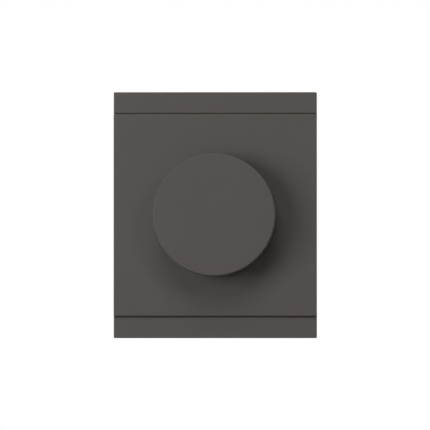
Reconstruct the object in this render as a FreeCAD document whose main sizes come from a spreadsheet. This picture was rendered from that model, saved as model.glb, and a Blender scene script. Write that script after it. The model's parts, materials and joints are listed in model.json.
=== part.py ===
import FreeCAD, Part
import math
import os
import Sketcher
from FreeCAD import Placement, Rotation, Vector

# Rotary dimmer switch for one wall module: a round knob on a cover plate and frame, and behind them
# the dimmer insert with its rotary control, push switch, circuit board and three cage terminals.
#
# Everything is drawn in plate coordinates, as the user sees the switch: x to the right, y up, and z
# out of the wall, with z = 0 at the wall's surface and the knob's axis at x = y = 0. Each sub-part is
# then stood up, so that the wall's surface is the part's own plane y = 0, its front faces -Y and its
# top faces +Z. All sizes are in millimetres.

# Driving dimensions
SIZES = {
    # frame with its two visible bars
    "frame_width": 50.0,
    "frame_height": 60.6,
    "frame_depth": 8.0,
    "frame_wall": 1.5,
    "bar_height": 5.2,
    "rail_wall": 1.4,
    "rail_height": 4.4,
    "snap_ridge": 0.6,
    "snap_width": 8.0,
    "snap_height": 1.0,
    "sill_thick": 0.8,
    "bar_rib": 1.0,
    "bar_rib_spread": 9.0,
    "corner_round": 0.25,
    "edge_round": 0.1,
    # cover plate between the bars
    "cover_face": 2.3,
    "cover_wall": 1.4,
    "cover_proud": 1.1,
    "cover_gap": 0.25,
    "cover_lap": 0.8,
    "groove_depth": 0.3,
    "skirt_gap": 0.2,
    "cover_hole": 12.4,
    "collar_wall": 1.4,
    "collar_lap": 1.2,
    "collar_clearance": 0.8,
    "cover_rib": 0.9,
    "cover_rib_height": 1.1,
    "cover_ring": 17.0,
    "leg_width": 5.0,
    "leg_thick": 1.2,
    "leg_spread": 9.0,
    "leg_margin": 0.5,
    "barb_reach": 0.7,
    "barb_height": 1.2,
    # mounting frame, screwed to the wall box
    "mount_thick": 2.2,
    "fit_gap": 0.3,
    "small_gap": 0.1,
    "wall_screw_hole": 3.8,
    "wall_screw_head": 6.4,
    "wall_screw_x": 15.0,
    "wall_screw_y": 25.0,
    "screw_notch": 8.0,
    "screw_notch_height": 5.0,
    "hook_width": 5.0,
    "hook_thick": 1.4,
    "hook_reach": 0.8,
    "hook_spread": 6.0,
    "hook_gap": 0.5,
    "pocket_width": 8.0,
    "pocket_height": 3.6,
    "pocket_depth": 0.9,
    "pocket_spread": 6.5,
    # aluminium plate that carries the insert and spreads its heat
    "plate_thick": 1.2,
    "plate_inset": 0.2,
    "plate_round": 1.5,
    # knob and its grip ring
    "knob_diameter": 30.2,
    "knob_height": 11.9,
    "knob_face": 2.0,
    "knob_wall": 1.6,
    "knob_taper": 0.1,
    "knob_round": 0.12,
    "knob_clearance": 0.3,
    "knob_rib": 1.0,
    "knob_ribs": 6,
    "boss_diameter": 9.2,
    "boss_recess": 1.4,
    "boss_slit": 0.8,
    "boss_slit_depth": 5.0,
    "grip_ring_thick": 0.4,
    "grip_ring_width": 1.4,
    "grip_ring_gap": 2.4,
    # spindle, retaining ring, bushing, nut and washer
    "push_travel": 1.5,
    "running_gap": 0.05,
    "spindle_diameter": 6.0,
    "spindle_flat": 4.5,
    "drive_diameter": 4.0,
    "drive_flats": 2.8,
    "spindle_tip": 0.3,
    "ring_thick": 0.6,
    "ring_diameter": 9.2,
    "ring_mouth": 3.7,
    "ring_groove": 0.7,
    "bushing_diameter": 8.0,
    "bushing_reach": 5.2,
    "flange_diameter": 14.0,
    "flange_thick": 1.0,
    "key_width": 1.5,
    "key_height": 1.0,
    "key_depth": 1.4,
    "nut_across": 11.0,
    "nut_thick": 2.4,
    "washer_diameter": 12.0,
    "washer_thick": 0.6,
    "washer_teeth": 8,
    # rotary control: shell, rotor, wiper and track
    "control_diameter": 17.2,
    "control_depth": 7.8,
    "control_wall": 0.8,
    "control_mouth": 10.4,
    "control_collar": 2.3,
    "rotor_diameter": 13.4,
    "rotor_thick": 2.4,
    "rotor_lug": 2.4,
    "rotor_lug_reach": 0.8,
    "stop_width": 4.7,
    "journal_diameter": 5.8,
    "wiper_thick": 0.3,
    "wiper_ring": 1.4,
    "wiper_finger": 1.2,
    "wiper_radius": 6.4,
    "track_thick": 1.0,
    "tongue_width": 8.4,
    "tongue_reach": 2.9,
    "pin_pitch": 2.5,
    "pin_width": 1.0,
    "pin_thick": 0.4,
    # push switch behind the control
    "switch_width": 15.6,
    "switch_depth": 7.8,
    "switch_wall": 1.0,
    "switch_floor": 0.8,
    "switch_round": 0.8,
    "plunger_width": 12.8,
    "plunger_height": 9.0,
    "plunger_thick": 1.6,
    "plunger_head": 0.25,
    "plunger_stem": 2.4,
    "plunger_stem_length": 3.2,
    "sleeve_wall": 0.4,
    "sleeve_height": 2.1,
    "bridge_thick": 0.4,
    "bridge_width": 12.4,
    "bridge_height": 6.4,
    "contact_point": 1.4,
    "contact_point_height": 0.4,
    "contact_spread": 5.2,
    "contact_width": 2.4,
    "contact_inset": 0.5,
    "contact_pad": 1.9,
    "spring_diameter": 4.0,
    "spring_wire": 0.45,
    "spring_turns": 4.5,
    # insulating case in two halves
    "case_width": 42.0,
    "case_wall": 1.5,
    "case_lid": 1.6,
    "case_round": 2.0,
    "case_edge": 0.6,
    "seam_bevel": 0.3,
    "entry_bevel": 0.5,
    "strip_gauge_length": 11.0,
    "strip_gauge_width": 1.4,
    "strip_gauge_depth": 0.4,
    "strip_gauge_gap": 2.0,
    "case_front_depth": 6.2,
    "case_rear_depth": 21.0,
    "lip_wall": 0.7,
    "lip_depth": 1.0,
    "post_diameter": 4.8,
    "ledge_diameter": 6.4,
    "post_inset": 3.6,
    "case_screw": 2.5,
    "case_screw_head": 4.8,
    "case_screw_head_thick": 1.6,
    "case_screw_length": 12.4,
    "case_screw_slot": 0.7,
    "control_opening": 18.4,
    "vent_width": 1.6,
    "vent_length": 9.0,
    "vent_pitch": 4.5,
    # circuit board and what stands on it
    "board_thick": 1.6,
    "board_gap": 0.2,
    "lead_tail": 0.8,
    "lead_thick": 0.6,
    "choke_diameter": 9.2,
    "choke_height": 12.0,
    "choke_flange": 1.2,
    "choke_core": 4.0,
    "choke_layer": 1.6,
    "choke_turns": 8,
    "choke_x": -14.2,
    "fuse_diameter": 5.0,
    "fuse_length": 20.0,
    "fuse_glass": 0.5,
    "fuse_cap_length": 5.4,
    "fuse_cap_wall": 0.2,
    "fuse_clip_wall": 0.4,
    "fuse_clip_width": 3.0,
    "fuse_y": 15.2,
    "film_width": 12.0,
    "film_thick": 5.5,
    "film_height": 10.0,
    "film_x": -5.5,
    "film_y": -15.0,
    "can_diameter": 7.0,
    "can_height": 11.0,
    "can_x": 6.5,
    "can_y": -14.8,
    "chip_length": 5.0,
    "chip_width": 4.0,
    "chip_height": 1.6,
    "chip_leg": 0.5,
    "chip_x": -15.0,
    "chip_y": -10.0,
    "transistor_x": 14.8,
    "transistor_y": -4.0,
    "transistor_width": 8.0,
    "transistor_length": 11.0,
    "transistor_tab": 3.6,
    "transistor_tab_thick": 1.2,
    "transistor_thick": 3.2,
    "transistor_lead_drop": 1.9,
    "transistor_lead_out": 1.4,
    "transistor_lead_pitch": 2.4,
    "pad_thick": 0.3,
    "rivet_diameter": 2.6,
    "rivet_head": 4.4,
    "rivet_head_thick": 0.8,
    "trimmer_x": 14.5,
    "trimmer_y": -7.2,
    "trimmer_width": 6.6,
    "trimmer_height": 4.0,
    "trimmer_spindle": 3.0,
    "trimmer_seat": 2.6,
    "trimmer_slot": 0.7,
    "trimmer_clearance": 0.45,
    # three terminals with a rising cage
    "terminal_pitch": 10.5,
    "clamp_width": 6.8,
    "clamp_depth": 5.4,
    "clamp_wall": 0.8,
    "clamp_thread_wall": 1.6,
    "clamp_mouth": 4.5,
    "clamp_grip": 0.65,
    "clamp_rise": 1.2,
    "clamp_rest": 0.25,
    "bar_thick": 1.2,
    "bar_tab": 1.6,
    "screw_diameter": 3.9,
    "screw_head": 5.4,
    "screw_head_thick": 1.8,
    "screw_slot": 0.8,
    "screwdriver_hole": 3.6,
    "nest_wall": 1.2,
    "nest_gap": 0.15,
}

doc = FreeCAD.newDocument("RotaryDimmer")
sheet = doc.addObject("Spreadsheet::Sheet", "Sizes")
for row, (alias, number) in enumerate(SIZES.items(), 1):
    sheet.set(f"A{row}", alias)
    sheet.set(f"B{row}", str(number))
    sheet.setAlias(f"B{row}", alias)
doc.recompute()


# Sizes that know the expression they come from
class Size:
    """A number with the spreadsheet expression behind it."""

    def __init__(self, number, text):
        self.number = float(number)
        self.text = text

    def __add__(self, other):
        other = as_size(other)
        return Size(self.number + other.number, f"({self.text} + {other.text})")

    def __sub__(self, other):
        other = as_size(other)
        return Size(self.number - other.number, f"({self.text} - {other.text})")

    def __mul__(self, other):
        other = as_size(other)
        return Size(self.number * other.number, f"({self.text} * {other.text})")

    def __truediv__(self, other):
        other = as_size(other)
        return Size(self.number / other.number, f"({self.text} / {other.text})")

    def __radd__(self, other):
        return as_size(other) + self

    def __rsub__(self, other):
        return as_size(other) - self

    def __rmul__(self, other):
        return self * other

    def __neg__(self):
        return self * -1


def as_size(value):
    return value if isinstance(value, Size) else Size(value, f"({value})")


class Driving:
    """Gives each cell of the sheet by its alias, as a Size."""

    def __getattr__(self, alias):
        return Size(SIZES[alias], f"Sizes.{alias}")


S = Driving()
ZERO = Size(0, "0")
# how far a cut runs past the surface that it opens
PAST = Size(1, "1")


# Sketch outlines: each call gives a function that draws the outline in a sketch and ties it
def tie(sketch, kind, size, *where):
    size = as_size(size)
    index = sketch.addConstraint(Sketcher.Constraint(kind, *where, size.number))
    sketch.setExpression(f"Constraints[{index}]", size.text)


def tie_point(sketch, geometry, vertex, x, y):
    tie(sketch, "DistanceX", x, -1, 1, geometry, vertex)
    tie(sketch, "DistanceY", y, -1, 1, geometry, vertex)


def join(sketch, geometry, vertex, other, other_vertex):
    sketch.addConstraint(Sketcher.Constraint("Coincident", geometry, vertex, other, other_vertex))


def polygon(*points):
    """A closed outline of straight lines."""

    def draw(sketch):
        spots = [Vector(as_size(x).number, as_size(y).number, 0) for x, y in points]
        ends = spots[1:] + spots[:1]
        lines = [sketch.addGeometry(Part.LineSegment(a, b), False) for a, b in zip(spots, ends)]
        for line, following in zip(lines, lines[1:] + lines[:1]):
            join(sketch, line, 2, following, 1)
        for line, (x, y) in zip(lines, points):
            tie_point(sketch, line, 1, x, y)

    return draw


def rectangle(left, low, right, high):
    return polygon((left, low), (right, low), (right, high), (left, high))


def centred(x, y, width, height):
    """A rectangle about a centre."""
    x, y, width, height = (as_size(value) for value in (x, y, width, height))
    return rectangle(x - width / 2, y - height / 2, x + width / 2, y + height / 2)


def circle(x, y, radius):
    def draw(sketch):
        centre = Vector(as_size(x).number, as_size(y).number, 0)
        ring = Part.Circle(centre, Vector(0, 0, 1), as_size(radius).number)
        geometry = sketch.addGeometry(ring, False)
        tie_point(sketch, geometry, 3, x, y)
        tie(sketch, "Radius", radius, geometry)

    return draw


def arc(sketch, x, y, radius, start, end):
    ring = Part.Circle(Vector(x, y, 0), Vector(0, 0, 1), radius)
    return sketch.addGeometry(Part.ArcOfCircle(ring, start, end), False)


def rounded(half_width, half_height, radius):
    """A rectangle about the origin with round corners."""

    def draw(sketch):
        wide, high, bend = half_width.number, half_height.number, radius.number
        corners = [(1, -1), (1, 1), (-1, 1), (-1, -1)]
        arcs = []
        for index, (across, up) in enumerate(corners):
            start = (index - 1) * math.pi / 2
            spot = (across * (wide - bend), up * (high - bend))
            arcs.append(arc(sketch, *spot, bend, start, start + math.pi / 2))
        sides = []
        for index in range(4):
            following = arcs[(index + 1) % 4]
            ends = (sketch.getPoint(arcs[index], 2), sketch.getPoint(following, 1))
            side = sketch.addGeometry(Part.LineSegment(*ends), False)
            sketch.addConstraint(Sketcher.Constraint("Tangent", arcs[index], 2, side, 1))
            sketch.addConstraint(Sketcher.Constraint("Tangent", side, 2, following, 1))
            sides.append(side)
        for geometry in arcs:
            tie(sketch, "Radius", radius, geometry)
        for side, kind in zip(sides, ("Vertical", "Horizontal") * 2):
            sketch.addConstraint(Sketcher.Constraint(kind, side))
        tie(sketch, "DistanceX", half_width, -1, 1, sides[0], 1)
        tie(sketch, "DistanceY", half_height, -1, 1, sides[1], 1)
        tie(sketch, "DistanceX", -half_width, -1, 1, sides[2], 1)
        tie(sketch, "DistanceY", -half_height, -1, 1, sides[3], 1)

    return draw


def flatted(radius, *flats):
    """A circle about the origin with one flat at +flat, or with flats at +flat and -flat."""

    def draw(sketch):
        angles = [math.asin(flat.number / radius.number) for flat in flats]
        if len(flats) == 1:
            spans = [(math.pi - angles[0], 2 * math.pi + angles[0])]
        else:
            spans = [(-angles[0], angles[0]), (math.pi - angles[0], math.pi + angles[0])]
        arcs = [arc(sketch, 0, 0, radius.number, *span) for span in spans]
        for index, geometry in enumerate(arcs):
            following = arcs[(index + 1) % len(arcs)]
            first = sketch.getPoint(geometry, 2)
            second = sketch.getPoint(following, 1)
            line = sketch.addGeometry(Part.LineSegment(first, second), False)
            join(sketch, line, 1, geometry, 2)
            join(sketch, line, 2, following, 1)
            sketch.addConstraint(Sketcher.Constraint("Horizontal", line))
            tie(sketch, "DistanceY", flats[index], -1, 1, line, 1)
            tie_point(sketch, geometry, 3, 0, 0)
            tie(sketch, "Radius", radius, geometry)

    return draw


# Bodies and features
def new_body(label):
    body = doc.addObject("PartDesign::Body", label)
    body.Label = label
    return body


def origin_feature(body, role):
    return next(feature for feature in body.Origin.OriginFeatures if feature.Role == role)


def new_sketch(body, name, plane, offset, outlines):
    sketch = body.newObject("Sketcher::SketchObject", f"{name}_sketch")
    sketch.AttachmentSupport = [(origin_feature(body, f"{plane}_Plane"), "")]
    sketch.MapMode = "FlatFace"
    sketch.setExpression("AttachmentOffset.Base.z", as_size(offset).text)
    for outline in outlines:
        outline(sketch)
    return sketch


def extrude(kind, body, name, plane, low, high, outlines):
    """Pad or pocket the outlines from low to high along the axis that the plane leaves free."""
    low, high = as_size(low), as_size(high)
    offset = -high if plane == "XZ" else low
    sketch = new_sketch(body, name, plane, offset, outlines)
    feature = body.newObject(f"PartDesign::{kind}", name)
    feature.Profile = sketch
    feature.setExpression("Length", (high - low).text)
    feature.Reversed = kind == "Pocket"
    return feature


def pad(body, name, plane, low, high, *outlines):
    return extrude("Pad", body, name, plane, low, high, outlines)


def cut(body, name, plane, low, high, *outlines):
    return extrude("Pocket", body, name, plane, low, high, outlines)


def turn(body, name, *outlines):
    """Turn outlines of radius and height about the body's Z axis."""
    sketch = new_sketch(body, name, "XZ", ZERO, outlines)
    feature = body.newObject("PartDesign::Revolution", name)
    feature.Profile = sketch
    feature.ReferenceAxis = (sketch, ["V_Axis"])
    feature.Angle = 360
    return feature


def repeat_round(body, name, features, count):
    """Repeat features evenly about the body's Z axis."""
    pattern = body.newObject("PartDesign::PolarPattern", name)
    pattern.Originals = features
    pattern.Axis = (origin_feature(body, "Z_Axis"), [""])
    pattern.Angle = 360
    pattern.setExpression("Occurrences", as_size(count).text)
    body.Tip = pattern
    return pattern


def dress(kind, body, name, size, chosen):
    """Round or chamfer the edges of the finished form that chosen(edge) picks."""
    doc.recompute()
    base = body.Tip
    edges = [f"Edge{i}" for i, edge in enumerate(base.Shape.Edges, 1) if chosen(edge)]
    feature = body.newObject(f"PartDesign::{kind}", name)
    feature.Base = (base, edges)
    feature.setExpression("Radius" if kind == "Fillet" else "Size", size.text)
    return feature


TOLERANCE = 1e-4


def lies_at(edge, level):
    """Whether an edge lies in the plane z = level."""
    box = edge.BoundBox
    return abs(box.ZMin - level.number) < TOLERANCE and abs(box.ZMax - level.number) < TOLERANCE


def is_ring(edge, radius):
    """Whether an edge is part of a circle of this radius."""
    curve = edge.Curve
    return isinstance(curve, Part.Circle) and abs(curve.Radius - radius.number) < TOLERANCE


def is_within(edge, side, low, high):
    """Whether an edge lies between x = side and x = -side, and between y = low and y = high."""
    box = edge.BoundBox
    across = box.XMin > side.number and box.XMax < -side.number
    return across and box.YMin > low.number and box.YMax < high.number


UPRIGHT = Rotation(Vector(1, 0, 0), 90)
AS_DRAWN = Rotation()
ALONG_X = Rotation(Vector(0, 1, 0), 90)


def place(piece, x=ZERO, y=ZERO, z=ZERO, rotation=UPRIGHT):
    """Put a piece's own origin at a point of the plate coordinates."""
    x, y, z = as_size(x), as_size(y), as_size(z)
    piece.Placement = Placement(Vector(x.number, -z.number, y.number), rotation)
    piece.setExpression("Placement.Base.x", x.text)
    piece.setExpression("Placement.Base.y", (-z).text)
    piece.setExpression("Placement.Base.z", y.text)
    NODES.append(piece)


NODES = []
SIDES = (-1, 1)
CORNERS = [(across, up) for across in SIDES for up in SIDES]

# Levels and half sizes that several pieces share
half_width = S.frame_width / 2
half_height = S.frame_height / 2
window_half = half_height - S.bar_height
cover_half = window_half - S.cover_gap
cover_top = S.frame_depth + S.cover_proud
cover_under = cover_top - S.cover_face
skirt_bottom = S.rail_height + S.skirt_gap
skirt_half = cover_half - S.cover_lap
sill_top = S.frame_depth - S.groove_depth
lap_under = sill_top + S.small_gap

mount_top = S.mount_thick
mount_half_x = half_width - S.rail_wall - S.fit_gap
mount_half_y = half_height - S.frame_wall - S.fit_gap
plate_half_x = mount_half_x - S.plate_inset
hook_stem = window_half - S.hook_gap - S.hook_thick
plate_half_y = hook_stem - S.plate_inset
plate_top = mount_top + S.plate_thick

case_half = S.case_width / 2
case_inner = case_half - S.case_wall
lid_under = mount_top - S.case_lid
parting = mount_top - S.case_front_depth
case_back = parting - S.case_rear_depth
floor_top = case_back + S.case_wall
post_spot = case_half - S.post_inset
screw_hole = S.case_screw / 2 + S.running_gap
lip_round = S.case_round * 0.7

leg_outer = case_inner - S.leg_margin
leg_inner = leg_outer - S.leg_thick
barb_top = mount_top - S.small_gap
leg_bottom = barb_top - S.barb_height

knob_radius = S.knob_diameter / 2
knob_bottom = cover_top + S.push_travel + S.knob_clearance
knob_top = knob_bottom + S.knob_height
knob_ceiling = knob_top - S.knob_face
knob_bore = knob_radius - S.knob_wall
collar_outer = knob_bore - S.collar_clearance
collar_top = knob_bottom + S.collar_lap
boss_radius = S.boss_diameter / 2
boss_bottom = knob_bottom + S.boss_recess
rib_bottom = collar_top + S.push_travel + S.fit_gap

spindle_radius = S.spindle_diameter / 2
bore_radius = spindle_radius + S.running_gap
flat_height = S.spindle_flat - spindle_radius
neck_radius = S.bushing_diameter / 2
flange_bottom = mount_top - S.flange_thick
ring_top = flange_bottom - S.running_gap
ring_bottom = ring_top - S.ring_thick
ring_radius = S.ring_diameter / 2
groove_radius = spindle_radius - S.ring_groove
washer_top = plate_top + S.washer_thick

control_radius = S.control_diameter / 2
control_inner = control_radius - S.control_wall
control_back = flange_bottom - S.control_depth
control_front = flange_bottom - S.control_wall
collar_end = control_front - S.control_collar
rotor_top = collar_end - S.small_gap
rotor_bottom = rotor_top - S.rotor_thick
rotor_radius = S.rotor_diameter / 2
journal_radius = S.journal_diameter / 2
drive_radius = S.drive_diameter / 2
drive_half = S.drive_flats / 2
shoulder = rotor_top + S.push_travel + S.fit_gap
spindle_end = control_back - S.spindle_tip
track_top = control_back + S.track_thick
tongue_end = control_inner + S.tongue_reach
pin_row = tongue_end - S.pin_width

switch_half = S.switch_width / 2
switch_inner = switch_half - S.switch_wall
board_top = control_back - S.switch_depth
board_bottom = board_top - S.board_thick
switch_floor = board_top + S.switch_floor
plunger_top = spindle_end - S.running_gap
plunger_face = plunger_top - S.plunger_head
plunger_back = plunger_face - S.plunger_thick
bridge_back = plunger_back - S.bridge_thick
point_back = bridge_back - S.contact_point_height
contact_top = point_back - S.push_travel - S.running_gap
contact_bottom = contact_top - S.pin_thick
contact_outer = switch_inner - S.contact_inset
contact_inner = contact_outer - S.contact_pad
tail_end = board_bottom - S.lead_tail
board_half = case_inner - S.board_gap

head_low = -(case_inner - S.small_gap)
head_top = head_low + S.screw_head_thick
clamp_travel = S.clamp_mouth - S.clamp_grip
clamp_low = head_top + S.clamp_rest + clamp_travel
clamp_thread_top = clamp_low + S.clamp_thread_wall
bar_low = clamp_thread_top + S.small_gap
bar_top = bar_low + S.bar_thick
clamp_far = bar_top + S.clamp_mouth
clamp_high = clamp_far + S.clamp_wall
clamp_half = S.clamp_width / 2
clamp_inner = clamp_half - S.clamp_wall
terminal_z = floor_top + S.clamp_rise + S.clamp_depth / 2
clamp_back = terminal_z - S.clamp_depth / 2
clamp_front = terminal_z + S.clamp_depth / 2
screw_radius = S.screw_diameter / 2
nest_inner = clamp_half + S.nest_gap
bar_half = clamp_inner - S.fit_gap
TERMINALS = [S.terminal_pitch * place_of for place_of in (-1, 0, 1)]

fuse_radius = S.fuse_diameter / 2
cap_radius = fuse_radius + S.fuse_cap_wall
clip_radius = cap_radius + S.fuse_clip_wall
fuse_z = board_top + clip_radius
clip_spot = S.fuse_length / 2 - S.fuse_cap_length / 2
lead_radius = S.lead_thick / 2
film_lead = S.film_width / 2 - S.lead_thick * 2
can_lead = S.can_diameter / 4
transistor_top = mount_top - S.pad_thick
transistor_far = S.transistor_y + S.transistor_length
rivet_y = S.transistor_y + S.transistor_tab / 2
lead_row = transistor_far + S.transistor_lead_out
lead_level = transistor_top - S.transistor_lead_drop
trimmer_top = board_top + S.trimmer_height
trimmer_radius = S.trimmer_spindle / 2


# Frame, cover plate, knob
def design_frame():
    """Two hollow bars with a sill under the cover's edge, joined by low rails under the cover plate."""
    body = new_body("design_frame")
    wall = S.frame_wall
    rail = half_width - S.rail_wall
    bar_inner = window_half + wall
    pad(body, "outline", "XY", 0, S.frame_depth, rounded(half_width, half_height, S.corner_round))
    cut(body, "cover_seat", "XY", S.rail_height, S.frame_depth + PAST,
        rectangle(-half_width - PAST, -window_half, half_width + PAST, window_half))
    cut(body, "window", "XY", -PAST, S.rail_height + PAST,
        rectangle(-rail, -window_half, rail, window_half))
    hollow = half_width - wall
    outer = half_height - wall
    cut(body, "bar_hollows", "XY", 0, S.frame_depth - wall,
        rectangle(-hollow, bar_inner, hollow, outer),
        rectangle(-hollow, -outer, hollow, -bar_inner))
    relief = mount_top + S.fit_gap
    cut(body, "mount_relief", "XY", 0, relief,
        rectangle(-rail, window_half - PAST, rail, bar_inner + PAST),
        rectangle(-rail, -bar_inner - PAST, rail, -window_half + PAST))
    cut(body, "screw_notches", "XY", relief, S.screw_notch_height,
        *[centred(across * S.wall_screw_x, up * (window_half + wall / 2), S.screw_notch, wall + PAST)
          for across, up in CORNERS])
    pad(body, "sills", "XY", sill_top - S.sill_thick, sill_top,
        *[rectangle(-half_width, up * (skirt_half + S.small_gap), half_width, up * (window_half + wall / 2))
          for up in SIDES])
    ridge_low = mount_top + S.small_gap
    ridge_high = ridge_low + S.snap_height
    pad(body, "bar_ribs", "XY", ridge_high, S.frame_depth - wall / 2,
        *[centred(across * S.bar_rib_spread, up * (bar_inner + outer) / 2, S.bar_rib, outer - window_half)
          for across, up in CORNERS])
    pad(body, "snap_ridges", "XY", ridge_low, ridge_high,
        *[rectangle(-S.snap_width / 2, up * (outer - S.snap_ridge),
                    S.snap_width / 2, up * (outer + wall / 2)) for up in SIDES])
    dress("Fillet", body, "soft_edges", S.edge_round, lambda edge: lies_at(edge, S.frame_depth))
    place(body)


def cover_plate():
    """Cover whose edge laps over the sills, with a skirt, a collar under the knob, ribs and four legs."""
    body = new_body("cover_plate")
    hole = S.cover_hole / 2
    skirt_x = half_width - S.cover_wall
    skirt_y = skirt_half - S.cover_wall
    inner_round = S.corner_round / 2
    pad(body, "face", "XY", lap_under, cover_top,
        rounded(half_width, cover_half, S.corner_round), circle(0, 0, hole))
    pad(body, "face_back", "XY", cover_under, lap_under,
        rounded(half_width, skirt_half, S.corner_round), circle(0, 0, hole))
    pad(body, "skirt", "XY", skirt_bottom, cover_under,
        rounded(half_width, skirt_half, S.corner_round), rounded(skirt_x, skirt_y, inner_round))
    dress("Fillet", body, "soft_edges", S.edge_round,
          lambda edge: lies_at(edge, cover_top) and not is_ring(edge, hole))
    pad(body, "collar", "XY", cover_top, collar_top,
        circle(0, 0, collar_outer), circle(0, 0, collar_outer - S.collar_wall))
    rib_low = cover_under - S.cover_rib_height
    ring = S.cover_ring / 2
    pad(body, "ring_rib", "XY", rib_low, cover_under, circle(0, 0, ring), circle(0, 0, ring - S.cover_rib))
    rib = S.cover_rib / 2
    inside = ring - rib
    pad(body, "ribs", "XY", rib_low, cover_under,
        rectangle(inside, -rib, skirt_x + rib, rib),
        rectangle(-skirt_x - rib, -rib, -inside, rib),
        rectangle(-rib, inside, rib, skirt_y + rib),
        rectangle(-rib, -skirt_y - rib, rib, -inside))
    lead_in = S.barb_reach / 2
    for number, across in enumerate(SIDES, 1):
        middle = across * S.leg_spread
        pad(body, f"legs_{number}", "YZ", middle - S.leg_width / 2, middle + S.leg_width / 2,
            *[polygon((up * leg_inner, cover_under), (up * leg_inner, leg_bottom),
                      (up * leg_outer - up * lead_in, leg_bottom),
                      (up * (leg_outer + S.barb_reach), barb_top - S.barb_height / 3),
                      (up * (leg_outer + S.barb_reach), barb_top), (up * leg_outer, barb_top),
                      (up * leg_outer, cover_under)) for up in SIDES])
    place(body)


def rotary_knob():
    """Turned shell with a slit boss that grips the spindle, and ribs between boss and wall."""
    body = new_body("rotary_knob")
    face_radius = knob_radius - S.knob_taper
    turn(body, "shell", polygon(
        (0, knob_top), (face_radius, knob_top), (knob_radius, knob_bottom), (knob_bore, knob_bottom),
        (knob_bore - S.knob_taper, knob_ceiling), (boss_radius, knob_ceiling),
        (boss_radius, boss_bottom), (0, boss_bottom)))
    reach = knob_bore + S.knob_wall / 4
    pad(body, "rib", "XY", rib_bottom, knob_ceiling,
        rectangle(boss_radius - S.knob_wall / 4, -S.knob_rib / 2, reach, S.knob_rib / 2))
    repeat_round(body, "ribs", [body.Tip], S.knob_ribs)
    cut(body, "spindle_bore", "XY", boss_bottom, knob_ceiling,
        flatted(spindle_radius + S.running_gap / 2, flat_height + S.running_gap / 2))
    slit = boss_radius + S.grip_ring_thick / 2
    cut(body, "boss_slit", "XY", boss_bottom, boss_bottom + S.boss_slit_depth,
        rectangle(-slit, -S.boss_slit / 2, slit, S.boss_slit / 2))
    dress("Fillet", body, "soft_edges", S.knob_round, lambda edge: lies_at(edge, knob_top))
    place(body)


def grip_ring():
    """Open spring band that closes the knob's boss on the spindle."""
    body = new_body("grip_ring")
    low = rib_bottom - S.small_gap - S.grip_ring_width
    outer = boss_radius + S.grip_ring_thick
    pad(body, "band", "XY", low, low + S.grip_ring_width,
        circle(0, 0, outer), circle(0, 0, boss_radius))
    cut(body, "opening", "XY", low, low + S.grip_ring_width,
        rectangle(-S.grip_ring_gap / 2, 0, S.grip_ring_gap / 2, outer + PAST))
    place(body)


# Mounting frame and support plate
def mounting_frame():
    """Flat frame with four countersunk screw holes, hooks for the insert and pockets in its back."""
    body = new_body("mounting_frame")
    window = case_half + S.fit_gap
    pad(body, "frame", "XY", 0, mount_top,
        rounded(mount_half_x, mount_half_y, S.plate_round), rounded(window, window, S.case_round),
        *[circle(across * S.wall_screw_x, up * S.wall_screw_y, S.wall_screw_hole / 2)
          for across, up in CORNERS])
    dress("Chamfer", body, "countersinks", (S.wall_screw_head - S.wall_screw_hole) / 2,
          lambda edge: lies_at(edge, mount_top) and is_ring(edge, S.wall_screw_hole / 2))
    cut(body, "pockets", "XY", 0, S.pocket_depth,
        *[centred(across * S.pocket_spread, up * S.wall_screw_y, S.pocket_width, S.pocket_height)
          for across, up in CORNERS])
    outer = hook_stem + S.hook_thick
    under = plate_top + S.small_gap
    tip = under + S.plate_inset
    top = tip + S.snap_ridge
    for number, across in enumerate(SIDES, 1):
        middle = across * S.hook_spread
        pad(body, f"hooks_{number}", "YZ", middle - S.hook_width / 2, middle + S.hook_width / 2,
            *[polygon((up * hook_stem, mount_top / 2), (up * outer, mount_top / 2), (up * outer, top),
                      (up * hook_stem, top), (up * (hook_stem - S.hook_reach), tip),
                      (up * (hook_stem - S.hook_reach), under), (up * hook_stem, under))
              for up in SIDES])
    place(body)


def support_plate():
    """Aluminium plate that the control, the transistors and the case are fixed to."""
    body = new_body("support_plate")
    slot_outer = leg_outer + S.small_gap
    slot_inner = leg_inner - S.barb_reach - S.fit_gap
    slot_half = S.leg_width / 2 + S.fit_gap
    key = S.key_width / 2 + S.small_gap
    key_outer = S.flange_diameter / 2 - S.key_depth / 4
    pad(body, "plate", "XY", mount_top, plate_top,
        rounded(plate_half_x, plate_half_y, S.plate_round),
        circle(0, 0, neck_radius + S.small_gap),
        rectangle(-key, key_outer - S.key_depth - S.small_gap, key, key_outer + S.small_gap),
        *[circle(across * post_spot, up * post_spot, screw_hole) for across, up in CORNERS],
        *[circle(across * S.transistor_x, rivet_y, S.rivet_diameter / 2 + S.running_gap)
          for across in SIDES],
        circle(S.trimmer_x, S.trimmer_y, trimmer_radius + S.trimmer_clearance),
        *[rectangle(across * S.leg_spread - slot_half, up * slot_inner,
                    across * S.leg_spread + slot_half, up * slot_outer)
          for across, up in CORNERS])
    place(body)


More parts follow.
